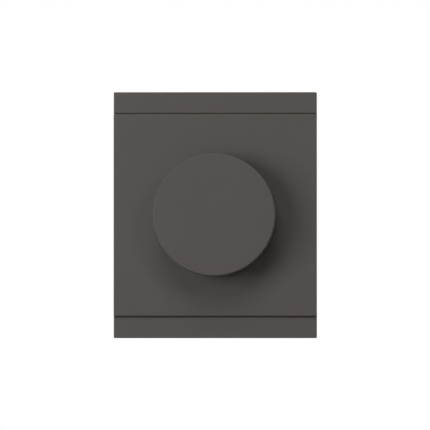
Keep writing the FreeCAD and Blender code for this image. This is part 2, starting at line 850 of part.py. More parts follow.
# Case halves and their screws
def case_front():
    """Front half of the insulating case, with a lid under the support plate."""
    body = new_body("case_front")
    pad(body, "block", "XY", parting, mount_top, rounded(case_half, case_half, S.case_round))
    dress("Chamfer", body, "seam", S.seam_bevel, lambda edge: lies_at(edge, parting))
    cut(body, "room", "XY", parting, lid_under, rounded(case_inner, case_inner, S.case_round / 2))
    pad(body, "bosses", "XY", parting, lid_under,
        *[circle(across * post_spot, up * post_spot, S.post_diameter / 2) for across, up in CORNERS])
    lip_outer = case_inner + S.lip_wall
    pad(body, "lip", "XY", parting - S.lip_depth, parting,
        rounded(lip_outer, lip_outer, lip_round),
        rounded(case_inner, case_inner, S.case_round / 2))
    slot_half = S.leg_width / 2 + S.fit_gap
    slot_inner = leg_inner - S.barb_reach - S.fit_gap
    slot_outer = leg_outer + S.barb_reach + S.small_gap
    body_half = S.transistor_width / 2 + S.fit_gap
    cut(body, "lid_openings", "XY", lid_under, mount_top,
        circle(0, 0, S.control_opening / 2),
        circle(S.trimmer_x, S.trimmer_y, trimmer_radius + S.trimmer_clearance),
        *[rectangle(across * S.transistor_x - body_half, S.transistor_y - S.fit_gap,
                    across * S.transistor_x + body_half, transistor_far + S.fit_gap)
          for across in SIDES],
        *[rectangle(across * S.leg_spread - slot_half, up * slot_inner,
                    across * S.leg_spread + slot_half, up * slot_outer)
          for across, up in CORNERS])
    cut(body, "screw_holes", "XY", parting, mount_top,
        *[circle(across * post_spot, up * post_spot, screw_hole) for across, up in CORNERS])
    place(body)


def case_rear():
    """Rear half of the case: board posts, terminal nests, wire entries, vents and a strip gauge."""
    body = new_body("case_rear")
    pad(body, "block", "XY", case_back, parting, rounded(case_half, case_half, S.case_round))
    dress("Chamfer", body, "seam", S.seam_bevel, lambda edge: lies_at(edge, parting))
    dress("Fillet", body, "back_edges", S.case_edge, lambda edge: lies_at(edge, case_back))
    cut(body, "strip_gauge", "XY", case_back, case_back + S.strip_gauge_depth,
        centred(0, clamp_high + S.strip_gauge_gap, S.strip_gauge_length, S.strip_gauge_width))
    cut(body, "room", "XY", floor_top, parting, rounded(case_inner, case_inner, S.case_round / 2))
    pad(body, "ledges", "XY", floor_top, board_bottom,
        *[circle(across * post_spot, up * post_spot, S.ledge_diameter / 2) for across, up in CORNERS])
    pad(body, "posts", "XY", board_bottom, parting,
        *[circle(across * post_spot, up * post_spot, S.post_diameter / 2) for across, up in CORNERS])
    rebate = case_inner + S.lip_wall + S.small_gap
    cut(body, "rebate", "XY", parting - S.lip_depth - S.small_gap, parting,
        rounded(rebate, rebate, lip_round),
        rounded(case_inner - S.small_gap, case_inner - S.small_gap, S.case_round / 2))
    cut(body, "screw_holes", "XY", plate_top - S.case_screw_length - S.lip_depth, parting,
        *[circle(across * post_spot, up * post_spot, screw_hole) for across, up in CORNERS])
    nest_outer = nest_inner + S.nest_wall
    pad(body, "nests", "XY", floor_top, tail_end - S.small_gap,
        *[rectangle(middle + across * nest_inner, -case_inner - S.small_gap,
                    middle + across * nest_outer, clamp_high + S.nest_wall)
          for middle in TERMINALS for across in SIDES])
    cut(body, "wire_entries", "XY", case_back, floor_top,
        *[rectangle(middle - clamp_inner, bar_top, middle + clamp_inner, clamp_far)
          for middle in TERMINALS])
    dress("Chamfer", body, "entry_funnels", S.entry_bevel,
          lambda edge: lies_at(edge, case_back) and is_within(edge, -case_inner, bar_low, clamp_high))
    cut(body, "screwdriver_holes", "XZ", -case_half - PAST, -case_inner + S.small_gap,
        *[circle(middle, terminal_z, S.screwdriver_hole / 2) for middle in TERMINALS])
    vent_high = parting - S.lip_depth - S.case_wall
    vents = [centred(step * S.vent_pitch, vent_high - S.vent_length / 2, S.vent_width, S.vent_length)
             for step in (-1, 0, 1)]
    cut(body, "top_vents", "XZ", case_inner - S.small_gap, case_half + PAST, *vents)
    cut(body, "left_vents", "YZ", -case_half - PAST, -case_inner + S.small_gap, *vents)
    cut(body, "right_vents", "YZ", case_inner - S.small_gap, case_half + PAST, *vents)
    place(body)


def case_screws():
    """Four screws through the support plate and the front half into the rear half's posts."""
    body = new_body("case_screws")
    head_top = plate_top + S.case_screw_head_thick
    spots = [(across * post_spot, up * post_spot) for across, up in CORNERS]
    pad(body, "shanks", "XY", plate_top - S.case_screw_length, plate_top,
        *[circle(x, y, S.case_screw / 2) for x, y in spots])
    pad(body, "heads", "XY", plate_top, head_top, *[circle(x, y, S.case_screw_head / 2) for x, y in spots])
    cut(body, "slots", "XY", head_top - S.case_screw_head_thick / 2, head_top,
        *[centred(x, y, S.case_screw_head + PAST, S.case_screw_slot) for x, y in spots])
    place(body)


# Spindle, bushing and what holds them
def control_bushing():
    """Bushing with a flange behind the support plate and a key that stops it turning."""
    body = new_body("control_bushing")
    flange = S.flange_diameter / 2
    turn(body, "turned", polygon(
        (bore_radius, flange_bottom), (flange, flange_bottom), (flange, mount_top),
        (neck_radius, mount_top), (neck_radius, mount_top + S.bushing_reach),
        (bore_radius, mount_top + S.bushing_reach)))
    key_outer = flange - S.key_depth / 4
    pad(body, "key", "XY", flange_bottom + S.flange_thick / 2, mount_top + S.key_height,
        rectangle(-S.key_width / 2, key_outer - S.key_depth, S.key_width / 2, key_outer))
    place(body)


def lock_washer():
    """Washer with notches round its rim."""
    body = new_body("lock_washer")
    outer = S.washer_diameter / 2
    pad(body, "ring", "XY", plate_top, washer_top,
        circle(0, 0, outer), circle(0, 0, neck_radius + S.small_gap))
    cut(body, "notch", "XY", plate_top, washer_top,
        rectangle(outer - S.washer_thick, -S.washer_thick / 2, outer + PAST, S.washer_thick / 2))
    repeat_round(body, "notches", [body.Tip], S.washer_teeth)
    place(body)


def bushing_nut():
    body = new_body("bushing_nut")
    corner = S.nut_across / 2 / math.cos(math.pi / 6)
    hexagon = [(corner * math.cos(step * math.pi / 3), corner * math.sin(step * math.pi / 3))
               for step in range(6)]
    pad(body, "hexagon", "XY", washer_top, washer_top + S.nut_thick,
        polygon(*hexagon), circle(0, 0, neck_radius + S.running_gap))
    place(body)


def spindle():
    """Spindle with a flat for the knob, a groove for its ring and a neck that drives the rotor."""
    body = new_body("spindle")
    turn(body, "turned", polygon(
        (0, knob_ceiling), (spindle_radius, knob_ceiling), (spindle_radius, ring_top),
        (groove_radius, ring_top), (groove_radius, ring_bottom), (spindle_radius, ring_bottom),
        (spindle_radius, shoulder), (0, shoulder)))
    cut(body, "knob_flat", "XY", boss_bottom - S.fit_gap, knob_ceiling,
        rectangle(-spindle_radius - PAST, flat_height, spindle_radius + PAST, spindle_radius + PAST))
    pad(body, "drive_neck", "XY", spindle_end, shoulder, flatted(drive_radius, drive_half, -drive_half))
    place(body)


def retaining_ring():
    """Open ring in the spindle's groove, which keeps the spindle from being pulled out."""
    body = new_body("retaining_ring")
    pad(body, "ring", "XY", ring_bottom, ring_top, circle(0, 0, ring_radius), circle(0, 0, groove_radius))
    mouth = S.ring_mouth / 2
    cut(body, "mouth", "XY", ring_bottom, ring_top, rectangle(-mouth, -ring_radius - PAST, mouth, 0))
    place(body)


# Rotary control
def control_shell():
    """Cup behind the bushing's flange, with an inner collar and a stop for the rotor."""
    body = new_body("control_shell")
    mouth = S.control_mouth / 2
    collar = mouth + S.control_wall
    turn(body, "cup", polygon(
        (mouth, flange_bottom), (control_radius, flange_bottom), (control_radius, control_back),
        (control_inner, control_back), (control_inner, control_front), (collar, control_front),
        (collar, collar_end), (mouth, collar_end)))
    stop_inner = rotor_radius + S.fit_gap
    pad(body, "stop", "XY", rotor_bottom, control_front,
        rectangle(-S.stop_width / 2, -control_inner - S.control_wall / 2, S.stop_width / 2, -stop_inner))
    notch = S.tongue_width / 2 + S.small_gap
    cut(body, "tongue_notch", "XY", control_back, track_top + S.small_gap,
        rectangle(-notch, control_inner / 2, notch, control_radius + PAST))
    place(body)


def wiper_rotor():
    """Rotor that the spindle drives and slides in, with a lug that meets the stop."""
    body = new_body("wiper_rotor")
    journal_end = track_top - S.wiper_thick * 2
    turn(body, "disc", polygon(
        (0, rotor_top), (rotor_radius, rotor_top), (rotor_radius, rotor_bottom),
        (journal_radius, rotor_bottom), (journal_radius, journal_end), (0, journal_end)))
    pad(body, "lug", "XY", rotor_bottom, rotor_top,
        rectangle(-S.rotor_lug / 2, rotor_radius / 2, S.rotor_lug / 2, rotor_radius + S.rotor_lug_reach))
    clearance = S.running_gap
    cut(body, "drive_bore", "XY", journal_end, rotor_top,
        flatted(drive_radius + clearance, drive_half + clearance, -drive_half - clearance))
    place(body)


def wiper_contact():
    """Brass ring on the back of the rotor with two sprung fingers that reach the track."""
    body = new_body("wiper_contact")
    inner = journal_radius + S.small_gap
    outer = inner + S.wiper_ring
    ring_back = rotor_bottom - S.wiper_thick
    tip = track_top + S.running_gap
    pad(body, "ring", "XY", ring_back, rotor_bottom, circle(0, 0, outer), circle(0, 0, inner))
    root = outer - S.wiper_ring / 2
    pad(body, "finger", "XZ", -S.wiper_finger / 2, S.wiper_finger / 2,
        polygon((root, rotor_bottom), (root, ring_back), (S.wiper_radius - S.wiper_ring / 2, tip),
                (S.wiper_radius, tip), (S.wiper_radius, tip + S.wiper_thick), (outer, rotor_bottom)))
    repeat_round(body, "fingers", [body.Tip], 2)
    place(body)


def track_disc():
    """Disc that carries the resistive track, with a tongue for its three pins."""
    body = new_body("track_disc")
    pad(body, "disc", "XY", control_back, track_top, circle(0, 0, control_inner - S.small_gap))
    tongue = S.tongue_width / 2
    pad(body, "tongue", "XY", control_back, track_top,
        rectangle(-tongue, control_inner / 2, tongue, tongue_end))
    cut(body, "holes", "XY", control_back, track_top, circle(0, 0, journal_radius + S.running_gap),
        *[centred(step * S.pin_pitch, pin_row, S.pin_width, S.pin_thick) for step in (-1, 0, 1)])
    place(body)


def track_pins():
    """Three flat pins from the track to the circuit board."""
    body = new_body("track_pins")
    for number, step in enumerate((-1, 0, 1), 1):
        middle = step * S.pin_pitch
        wide = S.pin_width / 2
        head = wide + S.pin_thick / 2
        pad(body, f"pin_{number}", "XZ", pin_row - S.pin_thick / 2, pin_row + S.pin_thick / 2,
            polygon((middle - head, track_top), (middle - wide, track_top), (middle - wide, tail_end),
                    (middle + wide, tail_end), (middle + wide, track_top), (middle + head, track_top),
                    (middle + head, track_top + S.pin_thick), (middle - head, track_top + S.pin_thick)))
    place(body)


# Push switch
def switch_base():
    """Open box behind the control, with a sleeve for the plunger and blocks under the contacts."""
    body = new_body("switch_base")
    pad(body, "block", "XY", board_top, control_back, rounded(switch_half, switch_half, S.switch_round))
    cut(body, "room", "XY", switch_floor, control_back,
        rounded(switch_inner, switch_inner, S.switch_round / 2))
    sleeve = S.plunger_stem / 2 + S.small_gap
    pad(body, "sleeve", "XY", switch_floor, switch_floor + S.sleeve_height,
        circle(0, 0, sleeve + S.sleeve_wall), circle(0, 0, sleeve))
    block = S.contact_width / 2 + S.switch_wall / 2
    into_wall = switch_inner + S.switch_wall / 2
    pad(body, "blocks", "XY", switch_floor, contact_bottom,
        *[rectangle(across * contact_inner, -block, across * into_wall, block) for across in SIDES])
    slot = S.contact_width / 2 + S.small_gap / 2
    cut(body, "contact_slots", "XY", board_top, contact_bottom,
        *[rectangle(across * (contact_outer - S.pin_thick), -slot, across * contact_outer, slot)
          for across in SIDES])
    place(body)


def switch_plunger():
    """Plunger that the spindle's end pushes, with a stem guided by the base's sleeve."""
    body = new_body("switch_plunger")
    wide, high = S.plunger_width / 2, S.plunger_height / 2
    pad(body, "flange", "XY", plunger_back, plunger_face, rounded(wide, high, S.switch_round))
    pad(body, "head", "XY", plunger_face, plunger_top, circle(0, 0, drive_radius))
    pad(body, "stem", "XY", plunger_back - S.plunger_stem_length, plunger_back,
        circle(0, 0, S.plunger_stem / 2))
    place(body)


def contact_bridge():
    """Brass strip under the plunger with a contact point near each end."""
    body = new_body("contact_bridge")
    wide, high = S.bridge_width / 2, S.bridge_height / 2
    spring_room = S.spring_diameter / 2 + S.spring_wire + S.small_gap
    pad(body, "strip", "XY", bridge_back, plunger_back,
        rounded(wide, high, S.switch_round), circle(0, 0, spring_room))
    pad(body, "points", "XY", point_back, bridge_back,
        *[circle(across * S.contact_spread, 0, S.contact_point / 2) for across in SIDES])
    place(body)


def fixed_contacts():
    """Two bent strips from the switch to the circuit board."""
    body = new_body("fixed_contacts")
    half = S.contact_width / 2
    pad(body, "strips", "XZ", -half, half,
        *[polygon((across * contact_inner, contact_top), (across * contact_inner, contact_bottom),
                  (across * (contact_outer - S.pin_thick), contact_bottom),
                  (across * (contact_outer - S.pin_thick), tail_end), (across * contact_outer, tail_end),
                  (across * contact_outer, contact_top)) for across in SIDES])
    place(body)


def return_spring():
    """Coil spring between the base's floor and the plunger, clear of the sleeve."""
    radius = S.spring_diameter / 2
    wire = S.spring_wire / 2
    bottom = switch_floor + wire + S.running_gap
    height = plunger_back - S.running_gap - wire - bottom
    path = doc.addObject("Part::Helix", "spring_path")
    path.setExpression("Radius", radius.text)
    path.setExpression("Height", height.text)
    path.setExpression("Pitch", (height / S.spring_turns).text)
    section = doc.addObject("Part::Circle", "spring_section")
    section.setExpression("Radius", wire.text)
    section.Placement = Placement(Vector(radius.number, 0, 0), Rotation(Vector(1, 0, 0), 90))
    section.setExpression("Placement.Base.x", radius.text)
    spring = doc.addObject("Part::Sweep", "return_spring")
    spring.Sections = [section]
    spring.Spine = (path, [])
    spring.Solid = True
    spring.Frenet = True
    place(spring, z=bottom)


# Circuit board and its components
def circuit_board():
    """Board round the corner posts, with slots and holes for what passes into it."""
    body = new_body("circuit_board")
    post = S.post_diameter / 2 + S.fit_gap
    gap = S.small_gap
    pad(body, "board", "XY", board_bottom, board_top, rounded(board_half, board_half, S.plate_round))
    cut(body, "post_cuts", "XY", board_bottom, board_top,
        *[circle(across * post_spot, up * post_spot, post) for across, up in CORNERS])
    flat_holes = [centred(middle, bar_low + S.bar_thick / 2, S.bar_tab + gap, S.bar_thick + gap)
                  for middle in TERMINALS]
    flat_holes += [centred(step * S.pin_pitch, pin_row, S.pin_width + gap, S.pin_thick + gap)
                   for step in (-1, 0, 1)]
    flat_holes += [centred(across * (contact_outer - S.pin_thick / 2), 0,
                           S.pin_thick + gap, S.contact_width + gap) for across in SIDES]
    flat_holes += [centred(across * S.transistor_x + step * S.transistor_lead_pitch, lead_row,
                           S.lead_thick + gap, S.lead_thick + gap)
                   for across in SIDES for step in (-1, 0, 1)]
    flat_holes += [centred(across * clip_spot, S.fuse_y, S.fuse_clip_width / 2 + gap,
                           S.fuse_clip_wall + gap) for across in SIDES]
    round_holes = [circle(x, y, lead_radius + gap / 2) for x, y in lead_spots()]
    cut(body, "slots", "XY", board_bottom, board_top, *flat_holes)
    cut(body, "holes", "XY", board_bottom, board_top, *round_holes)
    place(body)


def lead_spots():
    """Where the round leads of the capacitors pass through the board."""
    film = [(S.film_x + across * film_lead, S.film_y) for across in SIDES]
    can = [(S.can_x + across * can_lead, S.can_y) for across in SIDES]
    return film + can


def leads(body, spots, top):
    pad(body, "leads", "XY", tail_end, top, *[circle(x, y, lead_radius) for x, y in spots])


def choke_core():
    """Drum core of the interference choke."""
    body = new_body("choke_core")
    flange = S.choke_diameter / 2
    core = S.choke_core / 2
    turn(body, "drum", polygon(
        (0, 0), (flange, 0), (flange, S.choke_flange), (core, S.choke_flange),
        (core, S.choke_height - S.choke_flange), (flange, S.choke_height - S.choke_flange),
        (flange, S.choke_height), (0, S.choke_height)))
    place(body, S.choke_x, ZERO, board_top)


def choke_winding():
    """Turns of wire side by side on the drum."""
    body = new_body("choke_winding")
    core = S.choke_core / 2
    outer = core + S.choke_layer
    low = S.choke_flange
    turns = int(S.choke_turns.number)
    step = (S.choke_height - 2 * S.choke_flange) / turns
    profile = [(core, low)]
    for number in range(turns):
        start = low + number * step
        profile += [(outer - step / 4, start), (outer, start + step / 4),
                    (outer, start + step * 3 / 4)]
    profile += [(outer - step / 4, low + turns * step), (core, low + turns * step)]
    turn(body, "turns", polygon(*profile))
    place(body, S.choke_x, ZERO, board_top)


def fuse():
    """Glass fuse with its caps, in two clips on the board."""
    half = S.fuse_length / 2
    tube = new_body("fuse_tube")
    turn(tube, "glass", rectangle(fuse_radius - S.fuse_glass, -half, fuse_radius, half))
    place(tube, ZERO, S.fuse_y, fuse_z, ALONG_X)
    caps = new_body("fuse_caps")
    end = half + S.fuse_cap_wall
    inside = half - S.fuse_cap_length
    turn(caps, "caps", *[polygon(
        (0, side * end), (cap_radius, side * end), (cap_radius, side * inside),
        (fuse_radius, side * inside), (fuse_radius, side * half), (0, side * half)) for side in SIDES])
    place(caps, ZERO, S.fuse_y, fuse_z, ALONG_X)
    clips = new_body("fuse_clips")
    wide = S.fuse_clip_width / 2
    for number, side in enumerate(SIDES, 1):
        middle = side * clip_spot
        pad(clips, f"clip_{number}", "YZ", middle - wide, middle + wide,
            circle(S.fuse_y, fuse_z, clip_radius), circle(S.fuse_y, fuse_z, cap_radius))
        cut(clips, f"mouth_{number}", "YZ", middle - wide, middle + wide,
            centred(S.fuse_y, fuse_z + clip_radius, cap_radius, clip_radius))
        pad(clips, f"tab_{number}", "YZ", middle - wide / 2, middle + wide / 2,
            rectangle(S.fuse_y - S.fuse_clip_wall / 2, tail_end,
                      S.fuse_y + S.fuse_clip_wall / 2, board_top + S.fuse_clip_wall / 2))
    place(clips)


def film_capacitor():
    body = new_body("film_capacitor")
    wide, thick = S.film_width / 2, S.film_thick / 2
    pad(body, "box", "XY", board_top, board_top + S.film_height,
        rectangle(S.film_x - wide, S.film_y - thick, S.film_x + wide, S.film_y + thick))
    leads(body, lead_spots()[:2], board_top)
    dress("Chamfer", body, "edges", S.edge_round, lambda edge: lies_at(edge, board_top + S.film_height))
    place(body)


def can_capacitor():
    """Round capacitor with the groove rolled into its can."""
    body = new_body("can_capacitor")
    outer = S.can_diameter / 2
    waist = outer - S.edge_round
    groove = S.can_height / 8
    turn(body, "can", polygon(
        (0, 0), (outer, 0), (outer, groove), (waist, groove * 1.5), (outer, groove * 2),
        (outer, S.can_height - S.edge_round), (waist, S.can_height), (0, S.can_height)))
    spots = [(across * can_lead, ZERO) for across in SIDES]
    pad(body, "leads", "XY", tail_end - board_top, 0, *[circle(x, y, lead_radius) for x, y in spots])
    place(body, S.can_x, S.can_y, board_top)


def controller_chip():
    body = new_body("controller_chip")
    leg = S.chip_leg
    top = board_top + S.chip_height
    pad(body, "package", "XY", board_top + leg / 2, top,
        centred(S.chip_x, S.chip_y, S.chip_width, S.chip_length))
    pitch = S.chip_length / 4
    pad(body, "legs", "XY", board_top, board_top + leg,
        *[centred(S.chip_x + across * (S.chip_width / 2 + leg / 2), S.chip_y + pitch * step,
                  leg * 2, leg) for across in SIDES for step in (-1.5, -0.5, 0.5, 1.5)])
    place(body)


def power_transistors():
    """Two transistors flat against the support plate, with three leads each down to the board."""
    body = new_body("power_transistors")
    low = transistor_top - S.transistor_thick
    tab_end = S.transistor_y + S.transistor_tab
    thick = S.lead_thick
    for number, across in enumerate(SIDES, 1):
        middle = across * S.transistor_x
        half = S.transistor_width / 2
        pad(body, f"package_{number}", "YZ", middle - half, middle + half, polygon(
            (S.transistor_y, transistor_top), (transistor_far, transistor_top), (transistor_far, low),
            (tab_end, low), (tab_end, transistor_top - S.transistor_tab_thick),
            (S.transistor_y, transistor_top - S.transistor_tab_thick)))
        for step in (-1, 0, 1):
            lead = middle + step * S.transistor_lead_pitch
            pad(body, f"lead_{number}_{step + 2}", "YZ", lead - thick / 2, lead + thick / 2, polygon(
                (transistor_far - thick, lead_level), (lead_row + thick / 2, lead_level),
                (lead_row + thick / 2, tail_end), (lead_row - thick / 2, tail_end),
                (lead_row - thick / 2, lead_level - thick), (transistor_far - thick, lead_level - thick)))
    cut(body, "rivet_holes", "XY", low, transistor_top,
        *[circle(across * S.transistor_x, rivet_y, S.rivet_diameter / 2 + S.running_gap)
          for across in SIDES])
    place(body)


def insulating_pads():
    """Thin pads between the transistors and the support plate."""
    body = new_body("insulating_pads")
    half = S.transistor_width / 2
    pad(body, "pads", "XY", transistor_top, mount_top,
        *[rectangle(across * S.transistor_x - half, S.transistor_y,
                    across * S.transistor_x + half, transistor_far) for across in SIDES],
        *[circle(across * S.transistor_x, rivet_y, S.rivet_diameter / 2 + S.running_gap)
          for across in SIDES])
    place(body)


def transistor_rivets():
    body = new_body("transistor_rivets")
    head = S.rivet_head / 2
    tab_under = transistor_top - S.transistor_tab_thick
    spots = [(across * S.transistor_x, rivet_y) for across in SIDES]
    pad(body, "shanks", "XY", tab_under, plate_top, *[circle(x, y, S.rivet_diameter / 2) for x, y in spots])
    pad(body, "heads", "XY", plate_top, plate_top + S.rivet_head_thick,
        *[circle(x, y, head) for x, y in spots])
    tail = head - S.rivet_head_thick / 2
    pad(body, "tails", "XY", tab_under - S.rivet_head_thick, tab_under,
        *[circle(x, y, tail) for x, y in spots])
    place(body)


def trimmer():
    """Trimmer for the lowest brightness: a body on the board and a slotted spindle."""
    base = new_body("trimmer_body")
    half = S.trimmer_width / 2
    seat = trimmer_top - S.trimmer_seat
    centre = (S.trimmer_x, S.trimmer_y)
    pad(base, "block", "XY", board_top, trimmer_top,
        centred(*centre, S.trimmer_width, S.trimmer_width))
    cut(base, "bore", "XY", seat, trimmer_top, circle(*centre, trimmer_radius + S.running_gap))
    place(base)
    screw = new_body("trimmer_spindle")
    top = mount_top + S.trimmer_slot
    pad(screw, "rod", "XY", seat + S.running_gap, top, circle(0, 0, trimmer_radius))
    cut(screw, "slot", "XY", top - S.trimmer_slot, top,
        centred(0, 0, S.trimmer_spindle + PAST, S.trimmer_slot))
    place(screw, *centre, ZERO)


# Terminals
def terminal_screw(number, middle):
    """Terminal screw, drawn along its own Z, which lies along the plate's y."""
    body = new_body(f"terminal_screw_{number}")
    head = S.screw_head / 2
    turn(body, "turned", polygon(
        (0, head_low), (head, head_low), (head, head_top), (screw_radius, head_top),
        (screw_radius, bar_low - S.small_gap), (0, bar_low - S.small_gap)))
    cut(body, "slot", "XY", head_low, head_low + S.screw_slot,
        centred(0, 0, S.screw_slot, S.screw_head + PAST))
    place(body, middle, ZERO, terminal_z, AS_DRAWN)


def terminal_clamp(number, middle):
    """Rising cage that the screw pulls towards its head to grip the wire on the bar."""
    body = new_body(f"terminal_clamp_{number}")
    pad(body, "cage", "XY", clamp_back, clamp_front,
        rectangle(-clamp_half, clamp_low, clamp_half, clamp_high),
        rectangle(-clamp_inner, clamp_thread_top, clamp_inner, clamp_far))
    cut(body, "screw_hole", "XZ", clamp_low - PAST, clamp_thread_top + PAST,
        circle(0, terminal_z, screw_radius + S.running_gap))
    place(body, middle)


def terminal_bars():
    """Three flat bars that the cages clamp the wires against, each with a tab through the board."""
    body = new_body("terminal_bars")
    tab = S.bar_tab / 2
    pad(body, "bars", "XZ", bar_low, bar_top,
        *[polygon((middle - bar_half, clamp_back), (middle + bar_half, clamp_back),
                  (middle + bar_half, board_bottom), (middle + tab, board_bottom),
                  (middle + tab, board_top + S.lead_tail), (middle - tab, board_top + S.lead_tail),
                  (middle - tab, board_bottom), (middle - bar_half, board_bottom))
          for middle in TERMINALS])
    place(body)


# Build, check and write
for make in (design_frame, cover_plate, rotary_knob, grip_ring, mounting_frame, support_plate,
             case_front, case_rear, case_screws, control_bushing, lock_washer, bushing_nut, spindle,
             retaining_ring, control_shell, wiper_rotor, wiper_contact, track_disc, track_pins,
             switch_base, switch_plunger, contact_bridge, fixed_contacts, return_spring,
             circuit_board, choke_core, choke_winding, fuse, film_capacitor, can_capacitor,
             controller_chip, power_transistors, insulating_pads, transistor_rivets, trimmer,
             terminal_bars):
    make()
for number, middle in enumerate(TERMINALS, 1):
    terminal_screw(number, middle)
    terminal_clamp(number, middle)
doc.recompute()

for item in doc.Objects:
    if "Invalid" in item.State or "Error" in item.State:
        raise RuntimeError(f"{item.Name} failed: {item.State}")
    if item.TypeId == "PartDesign::Pocket" and item.Shape.Volume >= item.BaseFeature.Shape.Volume - TOLERANCE:
        raise RuntimeError(f"{item.Name} cuts nothing")
os.makedirs("parts", exist_ok=True)
for piece in NODES:
    if piece.Shape.isNull() or not piece.Shape.isValid() or not piece.Shape.Solids:
        raise RuntimeError(f"{piece.Label} is not a valid solid")
    piece.Shape.exportStep(f"parts/{piece.Label}.step")
print(f"{len(NODES)} sub-parts written")
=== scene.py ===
import json
import math

import bpy
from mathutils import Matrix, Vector


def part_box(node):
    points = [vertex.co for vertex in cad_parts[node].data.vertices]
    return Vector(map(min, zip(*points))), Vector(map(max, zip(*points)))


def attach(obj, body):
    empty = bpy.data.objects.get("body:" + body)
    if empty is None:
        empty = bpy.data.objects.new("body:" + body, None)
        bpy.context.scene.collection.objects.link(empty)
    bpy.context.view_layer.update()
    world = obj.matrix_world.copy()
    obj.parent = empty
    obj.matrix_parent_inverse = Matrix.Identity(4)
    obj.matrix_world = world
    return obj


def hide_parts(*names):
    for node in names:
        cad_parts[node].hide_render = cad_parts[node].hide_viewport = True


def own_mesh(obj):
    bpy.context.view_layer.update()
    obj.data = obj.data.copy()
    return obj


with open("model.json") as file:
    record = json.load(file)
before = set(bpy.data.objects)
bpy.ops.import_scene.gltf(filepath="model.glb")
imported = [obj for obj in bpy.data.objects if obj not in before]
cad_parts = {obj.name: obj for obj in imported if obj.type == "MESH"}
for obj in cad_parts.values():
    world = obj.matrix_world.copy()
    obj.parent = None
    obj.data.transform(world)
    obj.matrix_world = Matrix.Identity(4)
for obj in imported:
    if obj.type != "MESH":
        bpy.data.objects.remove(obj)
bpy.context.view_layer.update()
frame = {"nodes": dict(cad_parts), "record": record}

# Rotary dimmer switch. The wall's surface is the plane y = 0, the knob faces -Y and the top faces +Z.
MM = 0.001
MICRON = 0.001 * MM

# The photograph: a 430 pixel square, with the plate's width and the middle of the plate in its pixels
PHOTO_SIZE = 430
PLATE_WIDTH_PIXELS = 202.85
PLATE_MIDDLE = (215.12, 215.08)


# Materials

# A Mix node's colours come after its inputs and outputs of other types
MIX_FIRST, MIX_SECOND, MIX_RESULT = 6, 7, 2
BEVEL_SAMPLES = 8
# Cosines between a face's own normal and the softened one: where an edge starts to show, and is full
EDGE_STARTS = 0.995
EDGE_FULL = 0.80
# The scale of a wave texture whose half wave is about a metre long
WAVE_SCALE = 1 / 6.3


def new_object(name, data):
    """An object of the scene with this data."""
    thing = bpy.data.objects.new(name, data)
    bpy.context.scene.collection.objects.link(thing)
    return thing


def new_node(tree, kind, **values):
    """A node of this kind, with these values set."""
    node = tree.nodes.new(kind)
    for key, value in values.items():
        setattr(node, key, value)
    return node


def tints(base, change):
    """The base colour made darker, and made lighter, by this share."""
    darker = [channel * (1 - change) for channel in base[:3]]
    lighter = [min(1.0, channel * (1 + change)) for channel in base[:3]]
    return (*darker, 1.0), (*lighter, 1.0)


class Surface:
    """A material with helpers for its nodes. Lengths of its patterns are in metres on the object."""

    def __init__(self, name):
        self.material = bpy.data.materials.new(name)
        self.material.use_nodes = True
        self.tree = self.material.node_tree
        self.shader = self.tree.nodes["Principled BSDF"]
        self.place = self.add("ShaderNodeTexCoord").outputs["Object"]

    def add(self, kind, **values):
        """Adds a node of this kind, with these values set."""
        return new_node(self.tree, kind, **values)

    def link(self, source, target):
        self.tree.links.new(source, target)

    def set(self, socket, value):
        """Gives one of the shader's own sockets a constant."""
        self.shader.inputs[socket].default_value = value

    def paint(self, source):
        """Takes the base colour from another node."""
        self.link(source, self.shader.inputs["Base Color"])

    def roughen(self, pattern, low, high):
        """Lets the roughness follow a pattern between these two values."""
        self.link(self.spread(pattern, low, high), self.shader.inputs["Roughness"])

    def noise(self, size, detail=2.0, roughness=0.5, stretch=(1, 1, 1)):
        """Noise whose features are about this size, pulled out along an axis by its stretch."""
        mapping = self.add("ShaderNodeMapping")
        mapping.inputs["Scale"].default_value = [1 / value for value in stretch]
        self.link(self.place, mapping.inputs["Vector"])
        node = self.add("ShaderNodeTexNoise")
        node.inputs["Scale"].default_value = 1 / size
        node.inputs["Detail"].default_value = detail
        node.inputs["Roughness"].default_value = roughness
        self.link(mapping.outputs["Vector"], node.inputs["Vector"])
        return node.outputs["Fac"]

    def spread(self, value, low, high, start=0.3, end=0.7):
        """Maps a pattern's range from start to end onto the range from low to high."""
        node = self.add("ShaderNodeMapRange")
        node.inputs["From Min"].default_value = start
        node.inputs["From Max"].default_value = end
        node.inputs["To Min"].default_value = low
        node.inputs["To Max"].default_value = high
        self.link(value, node.inputs["Value"])
        return node.outputs["Result"]

    def blend(self, value, first, second):
        """Mixes two colours, or two other nodes' colours, by a pattern."""
        node = self.add("ShaderNodeMix", data_type="RGBA")
        self.link(value, node.inputs["Factor"])
        for socket, side in ((node.inputs[MIX_FIRST], first), (node.inputs[MIX_SECOND], second)):
            if isinstance(side, tuple):
                socket.default_value = side
            else:
                self.link(side, socket)
        return node.outputs[MIX_RESULT]

    def edges(self, radius):
        """A softened normal, and a pattern that is 0 on flat faces and rises at edges."""
        bevel = self.add("ShaderNodeBevel", samples=BEVEL_SAMPLES)
        bevel.inputs["Radius"].default_value = radius
        geometry = self.add("ShaderNodeNewGeometry")
        product = self.add("ShaderNodeVectorMath", operation="DOT_PRODUCT")
        self.link(bevel.outputs["Normal"], product.inputs[0])
        self.link(geometry.outputs["Normal"], product.inputs[1])
        return bevel.outputs["Normal"], self.spread(product.outputs["Value"], 1, 0, EDGE_FULL, EDGE_STARTS)

    def bump(self, pattern, depth, normal=None):
        """Gives the surface a relief, on top of a softened normal where there is one."""
        node = self.add("ShaderNodeBump")
        node.inputs["Distance"].default_value = depth
        self.link(pattern, node.inputs["Height"])
        if normal:
            self.link(normal, node.inputs["Normal"])
        self.link(node.outputs["Normal"], self.shader.inputs["Normal"])


